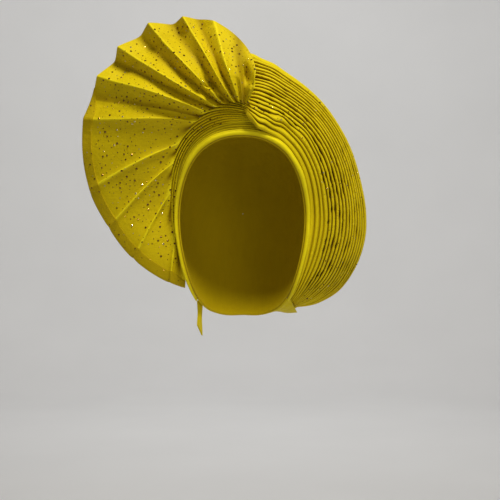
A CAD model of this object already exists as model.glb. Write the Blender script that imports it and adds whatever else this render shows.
# %% [markdown]
# # A tied gele head tie
#
# A gele is a stiff, shiny head tie. This one is sold ready tied: the cloth is laid in pleats,
# drawn together at a twist over the brow and sewn on a soft cap. One side of the twist
# opens as a creased fan, the other runs round the face as a swath of knife pleats.
#
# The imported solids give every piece's place and size. Here each gets its finish: fine folds,
# a hem, stitches, a weave, and the small flat-backed stones that are stuck on the cloth.

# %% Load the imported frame
import math

import bpy
import numpy as np
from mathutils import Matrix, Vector


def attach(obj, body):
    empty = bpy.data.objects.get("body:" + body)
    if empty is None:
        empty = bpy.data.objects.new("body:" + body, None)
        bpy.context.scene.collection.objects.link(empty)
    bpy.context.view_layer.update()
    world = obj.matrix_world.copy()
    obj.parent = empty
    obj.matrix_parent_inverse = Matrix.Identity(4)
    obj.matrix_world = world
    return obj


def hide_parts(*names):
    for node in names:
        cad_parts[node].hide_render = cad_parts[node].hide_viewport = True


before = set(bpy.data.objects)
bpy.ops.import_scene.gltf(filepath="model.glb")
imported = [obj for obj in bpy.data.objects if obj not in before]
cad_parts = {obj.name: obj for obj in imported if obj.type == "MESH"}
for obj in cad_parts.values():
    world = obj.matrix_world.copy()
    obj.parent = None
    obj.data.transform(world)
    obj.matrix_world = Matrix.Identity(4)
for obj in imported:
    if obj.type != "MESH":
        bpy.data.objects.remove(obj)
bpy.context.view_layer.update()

# %% [markdown]
# ## The camera
#
# The photograph is taken level, from straight in front, and is square. At 1.25 m from the
# face band a pixel is 1.13 mm, which with Blender's 36 mm sensor gives the lens. The
# camera could also be fitted by eye, but a length worked out from a known size needs no trial.

# %% Set the camera
PHOTO_PIXELS = 500
PIXEL_AT_BROW = 0.00113
VIEW_DISTANCE = 1.25
BROW_DEPTH = -0.060
VIEW_ASIDE = 0.009
VIEW_HEIGHT = -0.151
SENSOR = 36.0

camera_data = bpy.data.cameras.new("camera")
camera_data.sensor_width = SENSOR
camera_data.lens = SENSOR * VIEW_DISTANCE / (PHOTO_PIXELS * PIXEL_AT_BROW)
camera = bpy.data.objects.new("camera", camera_data)
camera.location = (VIEW_ASIDE, BROW_DEPTH - VIEW_DISTANCE, VIEW_HEIGHT)
camera.rotation_euler = (math.pi / 2, 0, 0)
bpy.context.scene.collection.objects.link(camera)
bpy.context.scene.camera = camera
print("lens", round(camera_data.lens, 1), "mm")

# %% [markdown]
# ## The head's form
#
# Everything is sewn to a cap, so the head under it decides where the cloth lies. The head
# is a rounded body with its own power up, down and across, and a place on it is two angles:
# `around` from straight up about the front-to-back axis, and `back` from the face.
# A sculpted head could carry the cloth too, but a formula can be asked for any point.

# %% Give the head's sizes and the cap's edge
HEAD_HALF_BREADTH = 0.076
HEAD_FRONT = 0.092
HEAD_BACK = 0.098
HEAD_CROWN = 0.105
HEAD_BASE = 0.138
ROUND_ACROSS = 2.3
ROUND_UP = 2.8
ROUND_DOWN = 2.0
NAPE_ROUNDING = 6.0
HEAD_CENTRE = np.array([0.0, 0.0, -HEAD_CROWN])
FRONTWARDS = np.array([0.0, -1.0, 0.0])

FACE_EDGE = {
    "around": [0, 24, 38, 48, 67, 95, 111, 134, 147, 153, 165, 180],
    "back": [47.5, 48.5, 50.0, 51.0, 54.5, 62.5, 65.5, 72.0, 80.0, 88.0, 104.0, 112.0],
}

print("half the head is", HEAD_HALF_BREADTH, "m wide, and it is", HEAD_FRONT + HEAD_BACK, "m deep")


# %% Read the tables
def smooth(places, values, at):
    """Values between the rows of a table, along a curve that doesn't overshoot them."""
    x, y = np.asarray(places, float), np.asarray(values, float)
    steps = np.diff(x)
    slopes = np.diff(y) / steps
    tangents = np.zeros_like(y)
    tangents[0], tangents[-1] = slopes[0], slopes[-1]
    for i in range(1, len(x) - 1):
        before, after = slopes[i - 1], slopes[i]
        if before * after > 0:
            w1 = 2 * steps[i] + steps[i - 1]
            w2 = steps[i] + 2 * steps[i - 1]
            tangents[i] = (w1 + w2) / (w1 / before + w2 / after)
    at = np.clip(np.asarray(at, float), x[0], x[-1])
    i = np.clip(np.searchsorted(x, at, side="right") - 1, 0, len(x) - 2)
    t = (at - x[i]) / steps[i]
    return (
        y[i] * (1 + 2 * t) * (1 - t) ** 2
        + y[i + 1] * t * t * (3 - 2 * t)
        + steps[i] * t * (1 - t) * (tangents[i] * (1 - t) - tangents[i + 1] * t)
    )


def column(table, name, at):
    return smooth(table["around"], table[name], at)


def ramp(value, start, length):
    """0 up to the start, then a straight rise to 1 over the length.

    With a negative length it is a straight fall from 1 that ends at the start.
    """
    return np.clip((value - start) / length, 0, 1)


def near(offset, width):
    """1 where the offset is 0, with a soft fall to 0 on both sides."""
    return np.exp(-((offset / width) ** 2))


def unit(vectors):
    return vectors / np.linalg.norm(vectors, axis=-1, keepdims=True)


print("the cap's edge at the ear lies", float(column(FACE_EDGE, "back", 95)), "degrees back")


# %% Find points over the head
def head_point(around, back, lift):
    """A point over the head, lifted off it along the ray from its centre."""
    around, back = np.radians(around), np.radians(back)
    across, up = np.sin(back) * np.sin(around), np.sin(back) * np.cos(around)
    ray = np.stack([across, -np.cos(back), up], axis=-1)
    depth = np.where(ray[..., 1] < 0, HEAD_FRONT, HEAD_BACK)
    height = np.where(ray[..., 2] > 0, HEAD_CROWN, HEAD_BASE)
    power = np.where(ray[..., 2] > 0, ROUND_UP, ROUND_DOWN)
    level = np.abs(ray[..., 0] / HEAD_HALF_BREADTH) ** ROUND_ACROSS
    level = level + np.abs(ray[..., 1] / depth) ** ROUND_ACROSS
    size = level ** (power / ROUND_ACROSS) + np.abs(ray[..., 2] / height) ** power
    return HEAD_CENTRE + ray * (size ** (-1 / power) + lift)[..., None]


def edge_back(around):
    """How far back the cap's edge lies. It is rounded where its two sides meet at the nape."""
    wrapped = (np.asarray(around, float) + 180.0) % 360.0 - 180.0
    from_nape = np.hypot(180.0 - np.abs(wrapped), NAPE_ROUNDING)
    return smooth(FACE_EDGE["around"], FACE_EDGE["back"], 180.0 - from_nape)


def behind_edge(around, distance, lift):
    """A point at a distance behind the cap's edge, lifted off the head."""
    around = np.asarray(around, float)
    start, none = edge_back(around), np.zeros_like(around)
    radius = np.linalg.norm(head_point(around, start, none) - HEAD_CENTRE, axis=-1)
    return head_point(around, start + np.degrees(distance / radius), none + lift)


def polar(points):
    """Distance from the front-to-back axis, and depth, of points in space."""
    offset = points - HEAD_CENTRE
    return np.hypot(offset[..., 0], offset[..., 2]), offset[..., 1]


def from_polar(around, distance, depth):
    around = np.radians(around)
    height = HEAD_CENTRE[2] + distance * np.cos(around)
    return np.stack([distance * np.sin(around), depth + 0 * around, height], axis=-1)


print("the face opening is", round(2000 * behind_edge(90.0, 0.0, 0.0)[0]), "mm wide")

# %% [markdown]
# ## Cloth from grids
#
# Each piece of cloth is worked out as a grid of points, so a fold is a formula across the
# grid. The grid is closed into a thin sheet with a back and a turned edge, as real
# cloth has a thickness. A Solidify modifier would do the same, but two grids let the back
# differ from the front. The texture map is laid in metres along the threads, so that
# one weave has the same scale on every piece.

# %% Add a mesh to the scene
SHARP_ANGLE = 60.0
TINY = 1e-12


def metres_along(grid, axis):
    """How far each grid point lies along a thread, measured from the middle thread."""
    steps = np.linalg.norm(np.diff(grid, axis=axis), axis=2)
    pad = ((1, 0), (0, 0)) if axis == 0 else ((0, 0), (1, 0))
    run = np.cumsum(np.pad(steps, pad), axis=axis)
    return run - np.take(run, [run.shape[axis] // 2], axis=axis)


def add_object(name, points, faces, material):
    print(f"{name}: {len(faces)} faces")
    mesh = bpy.data.meshes.new(name)
    mesh.from_pydata(points.tolist(), [], faces)
    mesh.materials.append(material)
    made = bpy.data.objects.new(name, mesh)
    bpy.context.scene.collection.objects.link(made)
    return made


def add_cloth(name, points, faces, corner_map, material, relief):
    """A smooth mesh with its thread map and its relief, which the finish colours."""
    piece = add_object(name, points, faces, material)
    mesh = piece.data
    mesh.attributes.new("relief", "FLOAT", "POINT").data.foreach_set("value", relief.ravel())
    mesh.uv_layers.new(name="threads").data.foreach_set("uv", corner_map.ravel())
    mesh.shade_smooth()
    mesh.set_sharp_from_angle(angle=math.radians(SHARP_ANGLE))
    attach(piece, "root")
    return piece


print("edges sharper than", SHARP_ANGLE, "degrees stay sharp")


# %% Close a grid into a sheet or a strip
def grid_quads(grid, wraps):
    """Quads of a grid and where each corner lies on the map.

    With wraps the last column is joined to the first.
    """
    rows, columns = grid.shape[:2]
    index = np.arange(rows * columns).reshape(rows, columns)
    if wraps:
        grid = np.concatenate([grid, grid[:, :1]], axis=1)
        index = np.concatenate([index, index[:, :1]], axis=1)
    threads = np.stack([metres_along(grid, 1), metres_along(grid, 0)], axis=-1)

    def corners(values):
        around = (values[:-1, :-1], values[:-1, 1:], values[1:, 1:], values[1:, :-1])
        return np.stack(around, axis=2).reshape((-1, 4) + values.shape[2:])

    return corners(index), corners(threads)


def facing(grid):
    """Unit normals of the folded cloth itself."""
    return unit(np.cross(np.gradient(grid, axis=1), np.gradient(grid, axis=0)))


def sheet_piece(name, front, back, material, relief=0.0):
    """A thin closed sheet between two grids. relief is -1 in a groove and 1 on a pressed edge."""
    count = front.shape[0] * front.shape[1]
    quads, threads = grid_quads(front, False)
    index = np.arange(count).reshape(front.shape[:2])
    border = np.concatenate([index[0, :-1], index[:-1, -1], index[-1, :0:-1], index[:0:-1, 0]])
    after = np.roll(border, -1)
    edge = np.stack([border + count, after + count, after, border], axis=1)
    faces = np.concatenate([quads, quads[:, ::-1] + count, edge])
    place = np.zeros((count, 2))
    place[quads.ravel()] = threads.reshape(-1, 2)
    corner_map = np.concatenate([threads, threads[:, ::-1], place[edge % count]])
    if (facing(front) * (front - back)).sum() < 0:
        faces, corner_map = faces[:, ::-1], corner_map[:, ::-1]
    points = np.concatenate([front.reshape(-1, 3), back.reshape(-1, 3)])
    relief = np.tile((np.zeros(front.shape[:2]) + relief).ravel(), 2)
    return add_cloth(name, points, faces.tolist(), corner_map, material, relief)


def strip_piece(name, rings, material, relief=0.0):
    """A closed strip through cross-sections that each hold the same ring of points."""
    stations, count = rings.shape[:2]
    quads, threads = grid_quads(rings, True)
    ends = [list(range(count)), list(range((stations - 1) * count, stations * count))]
    middle = rings.mean(axis=1, keepdims=True)
    outwards = unit(np.cross(np.gradient(rings, axis=1), np.gradient(rings, axis=0)) + TINY)
    if (outwards * (rings - middle)).sum() < 0:
        quads, threads = quads[:, ::-1], threads[:, ::-1]
        faces = quads.tolist() + [ends[0], ends[1][::-1]]
    else:
        faces = quads.tolist() + [ends[0][::-1], ends[1]]
    corner_map = np.concatenate([threads.reshape(-1, 2), np.zeros((2 * count, 2))])
    relief = np.zeros((stations, count)) + relief
    return add_cloth(name, rings.reshape(-1, 3), faces, corner_map, material, relief)


# %% [markdown]
# ## Node groups for the cloth
#
# The same weave, colour drift and stitches turn up in several finishes, so each is a node
# group, built once. A group only hands out heights and colours: the shader stays in the
# material. The weave reads the map in metres, so a thread is as wide on the cap as on the
# fan. An image of cloth would be quicker, but it blurs close up and needs a file.

# %% Build the node group helpers
COLOUR_MIX_INPUTS = (0, 6, 7)
COLOUR_MIX_OUTPUT = 2


def new_group(name, inputs, outputs):
    """A shader node group with named sockets. Returns the group and its two ends."""
    group = bpy.data.node_groups.new(name, "ShaderNodeTree")
    for socket_name, kind, value in inputs:
        socket = group.interface.new_socket(socket_name, in_out="INPUT", socket_type=kind)
        socket.default_value = value
    for socket_name, kind in outputs:
        group.interface.new_socket(socket_name, in_out="OUTPUT", socket_type=kind)
    return group, group.nodes.new("NodeGroupInput"), group.nodes.new("NodeGroupOutput")


def math_node(tree, operation, first, second=None):
    node = tree.nodes.new("ShaderNodeMath")
    node.operation = operation
    for socket, value in zip(node.inputs, (first, second)):
        if isinstance(value, (int, float)):
            socket.default_value = value
        elif value is not None:
            tree.links.new(value, socket)
    return node.outputs[0]


def noise_node(tree, vector, scale, detail=2.0):
    node = tree.nodes.new("ShaderNodeTexNoise")
    node.inputs["Detail"].default_value = detail
    if isinstance(scale, (int, float)):
        node.inputs["Scale"].default_value = scale
    else:
        tree.links.new(scale, node.inputs["Scale"])
    tree.links.new(vector, node.inputs["Vector"])
    return node.outputs["Fac"]


def mix_colours(tree, share, first, second, blend="MIX"):
    node = tree.nodes.new("ShaderNodeMix")
    node.data_type, node.blend_type = "RGBA", blend
    for place, value in zip(COLOUR_MIX_INPUTS, (share, first, second)):
        socket = node.inputs[place]
        if isinstance(value, (int, float, tuple)):
            socket.default_value = value
        else:
            tree.links.new(value, socket)
    return node.outputs[COLOUR_MIX_OUTPUT]


# %% Build the weave group
THREAD_PITCH = 0.00055
WEFT_SHARE = 0.8
SLUB_SCALE = (900.0, 30.0, 1.0)


def make_weave_group():
    """Crossed threads with slubs. Height runs 0 to 1, Slub is a slow change along a thread."""
    group, given, out = new_group(
        "woven_threads",
        [
            ("Threads a metre", "NodeSocketFloat", 1 / THREAD_PITCH),
            ("Slub amount", "NodeSocketFloat", 0.5),
        ],
        [("Height", "NodeSocketFloat"), ("Slub", "NodeSocketFloat")],
    )
    place = group.nodes.new("ShaderNodeUVMap")
    place.uv_map = "threads"
    apart = group.nodes.new("ShaderNodeSeparateXYZ")
    group.links.new(place.outputs["UV"], apart.inputs[0])
    waves = []
    for axis in (0, 1):
        turns = math_node(group, "MULTIPLY", apart.outputs[axis], given.outputs[0])
        wave = math_node(group, "SINE", math_node(group, "MULTIPLY", turns, math.pi))
        waves.append(math_node(group, "ABSOLUTE", wave))
    weft = math_node(group, "MULTIPLY", waves[1], WEFT_SHARE)
    height = math_node(group, "MAXIMUM", waves[0], weft)
    stretch = group.nodes.new("ShaderNodeMapping")
    stretch.inputs["Scale"].default_value = SLUB_SCALE
    group.links.new(place.outputs["UV"], stretch.inputs["Vector"])
    slub = noise_node(group, stretch.outputs[0], 1.0)
    group.links.new(height, out.inputs["Height"])
    slub = math_node(group, "MULTIPLY", math_node(group, "SUBTRACT", slub, 0.5), given.outputs[1])
    group.links.new(slub, out.inputs["Slub"])
    return group


weave_group = make_weave_group()
print("node group:", weave_group.name)

# %% Build the colour drift group
DRIFT_SCALE = 22.0
DRIFT_MIDDLE = 0.45
DEEP_EVERYWHERE = 0.12
CRINKLE_SCALE = 230.0


def make_drift_group():
    """Slow changes of colour over the dyed cloth, and soft crinkles in its surface."""
    group, given, out = new_group(
        "dyed_cloth",
        [
            ("Colour", "NodeSocketColor", (0.7, 0.55, 0.01, 1)),
            ("Deep colour", "NodeSocketColor", (0.4, 0.28, 0.005, 1)),
            ("Groove colour", "NodeSocketColor", (0.20, 0.11, 0.001, 1)),
            ("Edge colour", "NodeSocketColor", (0.92, 0.78, 0.01, 1)),
            ("Slub", "NodeSocketFloat", 0.0),
            ("Drift", "NodeSocketFloat", 0.3),
        ],
        [("Colour", "NodeSocketColor"), ("Crinkle", "NodeSocketFloat")],
    )
    place = group.nodes.new("ShaderNodeTexCoord").outputs["Object"]
    broad = math_node(group, "SUBTRACT", noise_node(group, place, DRIFT_SCALE, 3.0), DRIFT_MIDDLE)
    share = math_node(group, "MULTIPLY", broad, given.outputs["Drift"])
    share = math_node(group, "ADD", share, given.outputs["Slub"])
    share = math_node(group, "ADD", share, DEEP_EVERYWHERE)
    clamp = group.nodes.new("ShaderNodeClamp")
    group.links.new(share, clamp.inputs[0])
    plain, deep = given.outputs["Colour"], given.outputs["Deep colour"]
    colour = mix_colours(group, clamp.outputs[0], plain, deep)
    relief = group.nodes.new("ShaderNodeAttribute")
    relief.attribute_name = "relief"
    groove = math_node(group, "MULTIPLY", relief.outputs["Fac"], -1.0)
    colour = mix_colours(group, groove, colour, given.outputs["Groove colour"])
    colour = mix_colours(group, relief.outputs["Fac"], colour, given.outputs["Edge colour"])
    group.links.new(colour, out.inputs["Colour"])
    group.links.new(noise_node(group, place, CRINKLE_SCALE, 4.0), out.inputs["Crinkle"])
    return group


drift_group = make_drift_group()
print("node group:", drift_group.name)

# %% [markdown]
# ## The finishes
#
# The cloth is a closely woven mustard yellow with a satin glow: light slides along its
# threads, so the folds that face up are a clean yellow and the grooves go brown. It is one
# Principled shader with some sheen, mixed from the two groups. The plain pieces use the same
# cloth, a little lighter, and the cap and the hem show its matt reverse.

# %% Connect a cloth finish
WEAVE_DEPTH = 0.00012
CRINKLE_DEPTH = 0.0007
SHEEN_ROUGHNESS = 0.4
SHEEN_TINT = (1.0, 0.82, 0.12, 1.0)
SPECULAR_LEVEL = 0.25
SPECULAR_TINT = (1.0, 0.86, 0.25, 1.0)


def add_group(tree, group, **values):
    node = tree.nodes.new("ShaderNodeGroup")
    node.node_tree = group
    for name, value in values.items():
        node.inputs[name.replace("_", " ")].default_value = value
    return node


def add_bump(tree, height, depth, before=None):
    bump = tree.nodes.new("ShaderNodeBump")
    bump.inputs["Distance"].default_value = depth
    tree.links.new(height, bump.inputs["Height"])
    if before is not None:
        tree.links.new(before, bump.inputs["Normal"])
    return bump.outputs["Normal"]


def new_material(name):
    material = bpy.data.materials.new(name)
    material.use_nodes = True
    return material, material.node_tree, material.node_tree.nodes["Principled BSDF"]


def cloth_finish(name, colour, deep, roughness, sheen, drift=0.3):
    material, tree, shader = new_material(name)
    weave = add_group(tree, weave_group)
    dyed = add_group(tree, drift_group, Colour=colour, Deep_colour=deep, Drift=drift)
    tree.links.new(weave.outputs["Slub"], dyed.inputs["Slub"])
    tree.links.new(dyed.outputs["Colour"], shader.inputs["Base Color"])
    normal = add_bump(tree, dyed.outputs["Crinkle"], CRINKLE_DEPTH)
    normal = add_bump(tree, weave.outputs["Height"], WEAVE_DEPTH, normal)
    tree.links.new(normal, shader.inputs["Normal"])
    shader.inputs["Roughness"].default_value = roughness
    shader.inputs["Sheen Weight"].default_value = sheen
    shader.inputs["Sheen Roughness"].default_value = SHEEN_ROUGHNESS
    shader.inputs["Sheen Tint"].default_value = SHEEN_TINT
    shader.inputs["Specular IOR Level"].default_value = SPECULAR_LEVEL
    shader.inputs["Specular Tint"].default_value = SPECULAR_TINT
    return material


# %% Make the cloth finishes
STONED_COLOURS = (0.67, 0.51, 0.002, 1), (0.38, 0.25, 0.001, 1)
PLAIN_COLOURS = (0.72, 0.57, 0.002, 1), (0.48, 0.35, 0.001, 1)
REVERSE_COLOURS = (0.50, 0.36, 0.002, 1), (0.33, 0.22, 0.001, 1)

stoned_cloth = cloth_finish("stoned_cloth", *STONED_COLOURS, roughness=0.50, sheen=0.08, drift=0.7)
plain_cloth = cloth_finish("plain_cloth", *PLAIN_COLOURS, roughness=0.48, sheen=0.08)
reverse_cloth = cloth_finish("reverse_cloth", *REVERSE_COLOURS, roughness=0.70, sheen=0.03)
print("cloth finishes:", stoned_cloth.name, plain_cloth.name, reverse_cloth.name)

# %% [markdown]
# ## The cap
#
# The cap is the soft bonnet that the pleats are sewn to. It is cut in gores that meet
# at the crown of the back, so it shows seams that run together there, with the cloth puffed
# a little between them. A sphere squashed to the head would miss the seams.

# %% Make the cap
CAP_WALL = 0.0015
CLEARANCE = 0.0005
CAP_GORES = 8
CAP_AROUND_COLUMNS = 193
CAP_BACK_ROWS = 60
CAP_POLE = 0.998
ROWS_TO_EDGE = 1.15
SEAM_DEPTH = 0.0011
SEAM_WIDTH = 0.0035
SEAM_ROOM = 0.004
SEAM_START = 1 / 12
PUFF_HEIGHT = 0.0008


def make_cap():
    around = np.linspace(0, 360, CAP_AROUND_COLUMNS)
    share = np.linspace(0, CAP_POLE, CAP_BACK_ROWS) ** ROWS_TO_EDGE
    share, around = np.meshgrid(share, around, indexing="ij")
    back = edge_back(around) + (180 - edge_back(around)) * share
    from_seam = np.abs((around * CAP_GORES / 360 + 0.5) % 1 - 0.5) * 2
    width = np.radians(360 / CAP_GORES) * HEAD_HALF_BREADTH * (1 - share) + SEAM_ROOM
    seam = near(from_seam * width, SEAM_WIDTH) * ramp(share, 0, SEAM_START)
    puff = np.sin(np.pi * np.clip(from_seam, 0, 1) / 2) * np.sin(np.pi * share)
    lift = CAP_WALL + PUFF_HEIGHT * puff - SEAM_DEPTH * seam
    outside, inside = head_point(around, back, lift), head_point(around, back, 0 * lift)
    return sheet_piece("cap_cloth", outside, inside, reverse_cloth)


cap = make_cap()
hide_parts("cap")

# %% [markdown]
# ## The face band
#
# The band is a bias strip folded so that two soft ridges run round the face. It is
# a profile swept along the cap's edge. A curve with a bevel would twist on the way round,
# so each section is placed from the head's own form.

# %% Make the face band
BAND_WIDTH = 0.0070
BAND_THICKNESS = 0.0045
BAND_END = 153.0
BAND_GLOW = 0.75
BAND_SHADE = 1.6
BAND_SEAT = -0.16
BAND_RIPPLES = ((0.05, 7, 0), (0.04, 13, 40))
BAND_STATIONS = 260
BAND_PROFILE = {
    "along": [0.0, 0.03, 0.12, 0.27, 0.42, 0.50, 0.58, 0.73, 0.88, 0.97, 1.0],
    "height": [0.10, 0.45, 0.80, 1.00, 0.88, 0.66, 0.86, 1.00, 0.80, 0.45, 0.10],
}
BAND_POINTS = 33


def make_face_band():
    share = np.linspace(0, 1, BAND_POINTS)
    height = np.interp(share, BAND_PROFILE["along"], BAND_PROFILE["height"])
    height = np.convolve(np.pad(height, 1, mode="edge"), [0.25, 0.5, 0.25], mode="valid")
    share = np.append(share, [1.0, 0.0])
    height = np.append(height, [BAND_SEAT, BAND_SEAT])
    around = np.linspace(-BAND_END, BAND_END, BAND_STATIONS)[:, None]
    ripple = 1
    for size, waves, shift in BAND_RIPPLES:
        ripple = ripple + size * np.sin(np.radians(around * waves + shift))
    lift = CAP_WALL + CLEARANCE + BAND_THICKNESS * height * ripple
    rings = behind_edge(around + 0 * share, BAND_WIDTH * share, lift)
    relief = BAND_GLOW - BAND_SHADE * (1 - height) ** 2
    return strip_piece("face_band_cloth", rings, plain_cloth, relief)


face_band = make_face_band()
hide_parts("face_band")

# %% [markdown]
# ## The narrow pleats beside the face
#
# Between the band and the fan the cloth lies in four narrow pleats, each a step higher than
# the one before. They start at the twist and flatten towards the ear. The same sweep as
# the band makes them, with a profile that repeats for each pleat.

# %% Make the narrow pleats
PLEAT_WALL = 0.0020
FRONT_PLEATS = 4
FRONT_WIDTH = 0.0096
FRONT_STEP = 0.0013
FRONT_START = 12.0
FRONT_END = -130.0
FRONT_STATIONS = 240
FRONT_POINTS = 11
FRONT_LEAN = 0.85
FRONT_ROUND = 0.7
FRONT_GROOVE = 0.13
FRONT_RISE = {"slope": 0.6, "crest": 1.9, "groove": 1.2}
FRONT_LIT = 1.1
FRONT_SHADE = 2.3
FRONT_UNEVEN = 0.07
FRONT_WAVES = 6
FRONT_TAPER = {"around": [-130, -95, -60, -25, 12], "height": [0.15, 0.30, 0.60, 0.95, 1.0]}


def make_front_pleats():
    place = np.arange(FRONT_PLEATS * FRONT_POINTS) / FRONT_POINTS
    part, pleat = place % 1, np.floor(place)
    crest = np.sin(np.pi * part**FRONT_LEAN) ** FRONT_ROUND
    groove = near(part, FRONT_GROOVE) + near(1 - part, FRONT_GROOVE)
    height = pleat + 1 + FRONT_RISE["slope"] * part
    height = (height + FRONT_RISE["crest"] * crest - FRONT_RISE["groove"] * groove) * FRONT_STEP
    along = np.append(place / FRONT_PLEATS, [1.0, 1.0, 0.0]) * FRONT_WIDTH + BAND_WIDTH + CLEARANCE
    height = np.append(height, [(FRONT_PLEATS + FRONT_RISE["slope"]) * FRONT_STEP, 0.0, 0.0])
    around = np.linspace(FRONT_START, FRONT_END, FRONT_STATIONS)[:, None]
    which = np.append(pleat, [FRONT_PLEATS, 0, 0])
    uneven = 1 + FRONT_UNEVEN * np.sin(np.radians(around * FRONT_WAVES + 90 * which))
    lift = CAP_WALL + CLEARANCE + height * column(FRONT_TAPER, "height", around) * uneven
    rings = behind_edge(around + 0 * along, along, lift)
    relief = np.append(FRONT_LIT - FRONT_SHADE * (2 * part - 1) ** 2, [-1.0, -1.0, -1.0])
    return strip_piece("front_pleats_cloth", rings, stoned_cloth, relief)


front_pleats = make_front_pleats()
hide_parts("front_pleats")

# %% [markdown]
# ## The fan
#
# The fan is the loose end of the cloth. It is gathered at the twist and creased in about
# eleven folds, soft and high at the top and thin as a pressed line beside the face. The
# table gives each ridge its direction, reach and height, and the cloth between two ridges
# falls to a valley. A cloth simulation could crease it too, but pressed folds have a place
# that somebody chose, so here they are drawn.

# %% Give the fan's ridges
FAN_WALL = 0.0015
GATHER_WALL = 0.0010
FAN_REACH = 0.206
FAN_BULGE = 0.028
FAN_BULGE_SPAN = 0.110
FAN_LOOSE = 0.030
FOLD_HEIGHT = 0.013
GATHER_LENGTH = 0.033
GATHER_SLANT = 39.0
GATHER_ABOVE = 0.17
GATHER_ASIDE = 0.006
GATHER_TUCK = 0.0060
GATHER_FOLD = 0.0028
GATHER_SHARP = 1.2
AT_RIDGE = 1e-9
OPENED_BY = 0.45
EDGE_SHARE = 0.045
LIT_SHARE = 0.40
LYING_WITHIN = 0.004
LYING_POWER = 1.1
LYING_FOLDS = (3, 2)
HUG_ROUNDING = 0.0009
FOLD_SPREAD = 0.0028
ROOT_STACK = 1.4
ROOT_PLACE = 0.58
FAN_PULL = 0.80
CREST_ROUNDING = 0.15
TWIST_TUCK = {"folds": 7, "out": 0.12}
FAN_WANDER = (0.05, 7, 2.3)
GROWN_BY = 0.6
GROWN_POWER = 1.3
HEM_FROM = 0.93
HEM_SPAN = 0.07
HEM_TURN = 0.003
EVENING_PASSES = 3
EVENING_COLUMNS = 60

FAN_RIDGES = {
    "angle": [19, -16.5, -31, -45.5, -61, -74.5, -90.5, -115, -129, -142, -156, -161],
    "reach": [0.23, 0.535, 0.625, 0.715, 0.775, 0.825, 0.875, 0.937, 0.957, 0.987, 1.0, 1.0],
    "corner_out": [0.17, -0.10, -0.18, -0.4, -0.45, -0.54, -0.74, -0.58, -0.6, -0.7, -0.9, -0.92],
    "corner_up": [0.19, 0.14, 0.11, 0.09, 0.05, 0.01, -0.07, -0.09, -0.11, -0.13, -0.16, -0.17],
    "height": [0.85, 0.95, 1.05, 1.10, 1.10, 0.95, 0.55, 0.30, 0.28, 0.28, 0.26, 0.20],
    "valley": [0.55, 0.50, 0.42, 0.42, 0.42, 0.55, 0.50, 0.50, 0.50, 0.50, 0.50, 0.50],
    "notch": [0.00, 0.00, 0.045, 0.035, 0.035, 0.015, 0.00, -0.005, -0.006, -0.006, -0.004, 0.0],
    "sharp": [1.0, 1.1, 1.15, 1.15, 1.15, 1.3, 2.0, 5.0, 8.0, 8.0, 6.0, 2.0],
    "soft": [0.10, 0.07, 0.05, 0.04, 0.04, 0.03, 0.03, 0.02, 0.02, 0.02, 0.03, 0.03],
}
LAST_FOLD = len(FAN_RIDGES["angle"]) - 1

FAN_DISH = {
    "around": [-180, -145, -120, -95, -70, -45, -22, -2, 5, 12, 30],
    "lean": [0.25, 0.25, 0.12, 0.00, -0.02, 0.02, 0.045, 0.07, 0.07, 0.07, 0.07],
    "bulge": [0.25, 0.30, 0.40, 0.45, 0.55, 0.75, 0.88, 1.00, 1.00, 1.00, 1.00],
    "spread": [0.50, 0.50, 0.57, 0.65, 0.80, 0.95, 1.00, 0.72, 0.50, 0.25, 0.22],
    "slow": [0.80, 0.80, 0.80, 0.80, 0.84, 1.10, 1.15, 0.90, 0.80, 0.80, 0.80],
}

print("the fan has", LAST_FOLD, "folds")

# %% [markdown]
# The main ridges alone look machine made. Real cloth also has half-formed creases that die
# out, and dents where a fold has buckled. Two more tables add them: each crease runs
# from one place out to another, and each dent is a soft hollow or a bump at one place.

# %% Give the small creases and dents
CREASES = {
    "fold_in": [0.62, 1.45, 2.55, 3.50, 4.62, 5.35, 6.45, 7.50],
    "fold_out": [0.66, 1.55, 2.40, 3.38, 4.55, 5.42, 6.60, 7.55],
    "start": [0.10, 0.05, 0.05, 0.05, 0.05, 0.05, 0.05, 0.05],
    "end": [0.85, 0.45, 0.50, 0.45, 0.40, 0.45, 0.75, 0.55],
    "height": [6.0, 2.0, 2.2, 2.0, 1.8, 1.6, 1.6, 1.2],
    "width": [0.16, 0.16, 0.16, 0.16, 0.16, 0.16, 0.20, 0.16],
}
DENTS = {
    "fold": [2.62, 2.96, 3.08, 2.74, 0.40, 0.22, 1.20, 5.50, 4.40, 3.60],
    "out": [0.56, 0.53, 0.45, 0.385, 0.70, 0.50, 0.72, 0.70, 0.80, 0.72],
    "height": [-8.0, -9.0, 8.0, -8.0, -9.0, 4.0, 2.0, -1.5, 1.2, -1.5],
    "fold_width": [0.15, 0.12, 0.20, 0.12, 0.11, 0.12, 0.30, 0.30, 0.25, 0.25],
    "out_width": [0.06, 0.028, 0.035, 0.04, 0.11, 0.10, 0.12, 0.12, 0.10, 0.10],
}
CREASE_FADE_IN = 0.1
CREASE_FADE_OUT = 0.25
CREASE_ROUNDING = 0.25
GATHER_RIPPLE = {"height": 0.5, "out": 0.16, "width": 0.12}
SLACK_HEIGHT = 0.7
MILLIMETRE = 0.001
print("small creases:", len(CREASES["start"]), "and dents:", len(DENTS["fold"]))

# %% Place the fan's creases
def fan_ridge(name, fold):
    return smooth(np.arange(LAST_FOLD + 1), FAN_RIDGES[name], fold)


def fan_root(around):
    """Where the fan starts, on top of the narrow pleats: distance and depth."""
    stack = (FRONT_PLEATS + ROOT_STACK) * FRONT_STEP * column(FRONT_TAPER, "height", around)
    lift = CAP_WALL + 2 * CLEARANCE + stack + FAN_WALL
    return polar(behind_edge(around, BAND_WIDTH + ROOT_PLACE * FRONT_WIDTH + CLEARANCE, lift))


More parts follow.
